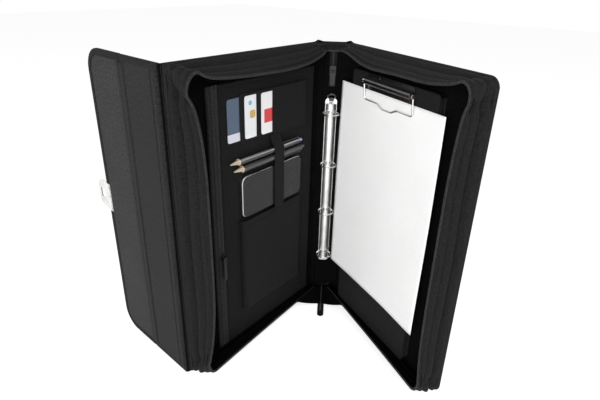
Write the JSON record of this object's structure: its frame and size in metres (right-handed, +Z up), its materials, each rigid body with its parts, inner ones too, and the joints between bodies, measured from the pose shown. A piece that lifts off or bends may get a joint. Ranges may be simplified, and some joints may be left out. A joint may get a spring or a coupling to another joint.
{
  "type": "document folder",
  "caption": "Zip-around document folder standing open like a book, with a locking flap, ring binder, organiser panel with card, pen and phone pockets, and a clipboard.",
  "frame": {"origin": "middle of the back cover's standing edge, on the ground", "axes": "+Z up along the covers; +Y out of the back cover's outer face; +X along the back cover towards the spine"},
  "size_m": [0.3009, 0.4694, 0.415],
  "materials": {
    "outer_fabric": "matte black woven polyester",
    "board": "grey stiffening board",
    "lining": "matte black lining cloth",
    "gusset_fabric": "soft black cloth",
    "zip_tape": "black zip tape with teeth",
    "panel_fabric": "black cloth over board",
    "elastic": "black elastic",
    "nickel": "nickel-plated steel",
    "spring_steel": "spring wire",
    "zip_metal": "black lacquered metal",
    "card_blue": "plain plastic card",
    "card_sky": "plain plastic card",
    "card_red": "plain plastic card",
    "pen_black": "black pen with steel tip",
    "pen_grey": "dark grey pen with steel tip",
    "phone_glass": "dark glass front with a bright metal rim",
    "paper": "white writing paper"
  },
  "bodies": {
    "back_cover": {"back_skin": "outer_fabric", "back_board": "board", "back_lining": "lining", "back_gusset": "gusset_fabric", "back_zip_edge": "zip_tape", "organiser_panel": "panel_fabric", "organiser_wall": "panel_fabric", "organiser_margin": "panel_fabric", "pocket_zip": "zip_tape", "pen_strap": "elastic", "phone_pocket": "panel_fabric", "card_pocket_1": "panel_fabric", "card_pocket_2": "panel_fabric", "card_pocket_3": "panel_fabric"},
    "spine": {"spine_skin": "outer_fabric", "spine_board": "board", "spine_lining": "lining", "ring_base": "nickel", "ring_cover": "nickel", "lever_pin": "nickel", "zip_tail_head": "zip_tape", "zip_tail_foot": "zip_tape"},
    "back_side_rings": {"back_side_leaf": "nickel", "back_side_half_rings": "nickel"},
    "front_side_rings": {"front_side_leaf": "nickel", "front_side_half_rings": "nickel"},
    "ring_lever": {"ring_lever": "nickel"},
    "main_slider": {"main_slider": "zip_metal"},
    "main_pull": {"main_pull": "zip_metal"},
    "front_cover": {"front_skin": "outer_fabric", "front_board": "board", "front_lining": "lining", "front_gusset": "gusset_fabric", "front_zip_edge": "zip_tape", "clipboard_panel": "panel_fabric", "clipboard_wall": "panel_fabric", "writing_sheet": "paper", "clip_base": "nickel", "clip_spring": "spring_steel", "clip_rod": "nickel", "clip_rivets": "nickel", "catch_base": "nickel"},
    "clip_bail": {"clip_bail": "nickel"},
    "catch_bolt": {"catch_bolt": "nickel"},
    "wrap_strip": {"strip_skin": "outer_fabric", "strip_lining": "outer_fabric"},
    "flap": {"flap_skin": "outer_fabric", "flap_board": "board", "flap_binding": "outer_fabric", "flap_lining": "outer_fabric", "lock_tongue": "nickel", "tongue_plates": "nickel"},
    "pocket_slider": {"pocket_slider": "zip_metal"},
    "pocket_pull": {"pocket_pull": "zip_metal"},
    "card_1": {"card_1": "card_blue"},
    "card_2": {"card_2": "card_sky"},
    "card_3": {"card_3": "card_red"},
    "upper_pen": {"upper_pen": "pen_black"},
    "lower_pen": {"lower_pen": "pen_grey"},
    "phone": {"phone": "phone_glass"}
  },
  "joints": [
    {"name": "back_fold", "type": "hinge", "parent": "back_cover", "child": "spine", "pos_m": [0.135, 0.0008, 0], "axis": [0, 0, 1], "range_deg": [-31.4, 55.4]},
    {"name": "front_fold", "type": "hinge", "parent": "spine", "child": "front_cover", "pos_m": [0.15998, -0.03542, 0], "axis": [0, 0, 1], "range_deg": [-27.8, 59], "deforming": ["writing_sheet"]},
    {"name": "strip_fold", "type": "hinge", "parent": "back_cover", "child": "wrap_strip", "pos_m": [-0.1377, 0.0008, 0], "axis": [0, 0, -1], "range_deg": [-188.19, 24]},
    {"name": "flap_fold", "type": "hinge", "parent": "wrap_strip", "child": "flap", "pos_m": [-0.13107, 0.07976, 0], "axis": [0, 0, -1], "range_deg": [-93.01, 20]},
    {"name": "back_side_ring_pivot", "type": "hinge", "parent": "spine", "child": "back_side_rings", "pos_m": [0.13936, -0.01538, 0], "axis": [0, 0, -1], "range_deg": [0, 12]},
    {"name": "front_side_ring_pivot", "type": "hinge", "parent": "spine", "child": "front_side_rings", "pos_m": [0.1464, -0.02559, 0], "axis": [0, 0, 1], "range_deg": [0, 12]},
    {"name": "lever_pivot", "type": "hinge", "parent": "spine", "child": "ring_lever", "pos_m": [0.14132, -0.02157, 0.3315], "axis": [-0.5678, 0.8231, 0], "range_deg": [0, 10]},
    {"name": "main_slider_run", "type": "slide", "parent": "spine", "child": "main_slider", "axis": [0, 0, 1], "range_m": [-0.013, 0.022]},
    {"name": "main_pull_swing", "type": "hinge", "parent": "main_slider", "child": "main_pull", "pos_m": [0.1407, -0.02199, 0.3745], "axis": [-0.5678, 0.8231, 0], "range_deg": [0, 150]},
    {"name": "bail_swing", "type": "hinge", "parent": "front_cover", "child": "clip_bail", "pos_m": [0.09133, -0.13714, 0.376], "axis": [0.4131, 0.9107, 0], "range_deg": [0, 70], "stiffness_Nm_per_rad": 0.3, "springref_deg": -28.65},
    {"name": "bolt_slide", "type": "slide", "parent": "front_cover", "child": "catch_bolt", "axis": [0.4131, 0.9107, 0], "range_m": [0, 0.004], "stiffness_N_per_m": 150, "springref_m": -0.004},
    {"name": "pocket_slider_run", "type": "slide", "parent": "back_cover", "child": "pocket_slider", "axis": [0, 0, -1], "range_m": [-0.2175, 0.109]},
    {"name": "pocket_pull_swing", "type": "hinge", "parent": "pocket_slider", "child": "pocket_pull", "pos_m": [-0.072, -0.01075, 0.157], "axis": [-1, 0, 0], "range_deg": [0, 150]},
    {"name": "card_1_slide", "type": "slide", "parent": "back_cover", "child": "card_1", "axis": [-1, 0, 0], "range_m": [0, 0.06]},
    {"name": "card_2_slide", "type": "slide", "parent": "back_cover", "child": "card_2", "axis": [-1, 0, 0], "range_m": [0, 0.06]},
    {"name": "card_3_slide", "type": "slide", "parent": "back_cover", "child": "card_3", "axis": [-1, 0, 0], "range_m": [0, 0.06]},
    {"name": "upper_pen_slide", "type": "slide", "parent": "back_cover", "child": "upper_pen", "axis": [-1, 0, 0], "range_m": [0, 0.06]},
    {"name": "lower_pen_slide", "type": "slide", "parent": "back_cover", "child": "lower_pen", "axis": [-1, 0, 0], "range_m": [0, 0.06]},
    {"name": "phone_slide", "type": "slide", "parent": "back_cover", "child": "phone", "axis": [-1, 0, 0], "range_m": [0, 0.04]}
  ],
  "couplings": [
    {"joint": "front_side_ring_pivot", "follows": "back_side_ring_pivot", "ratio": 1},
    {"joint": "lever_pivot", "follows": "back_side_ring_pivot", "ratio": 0.83333}
  ]
}
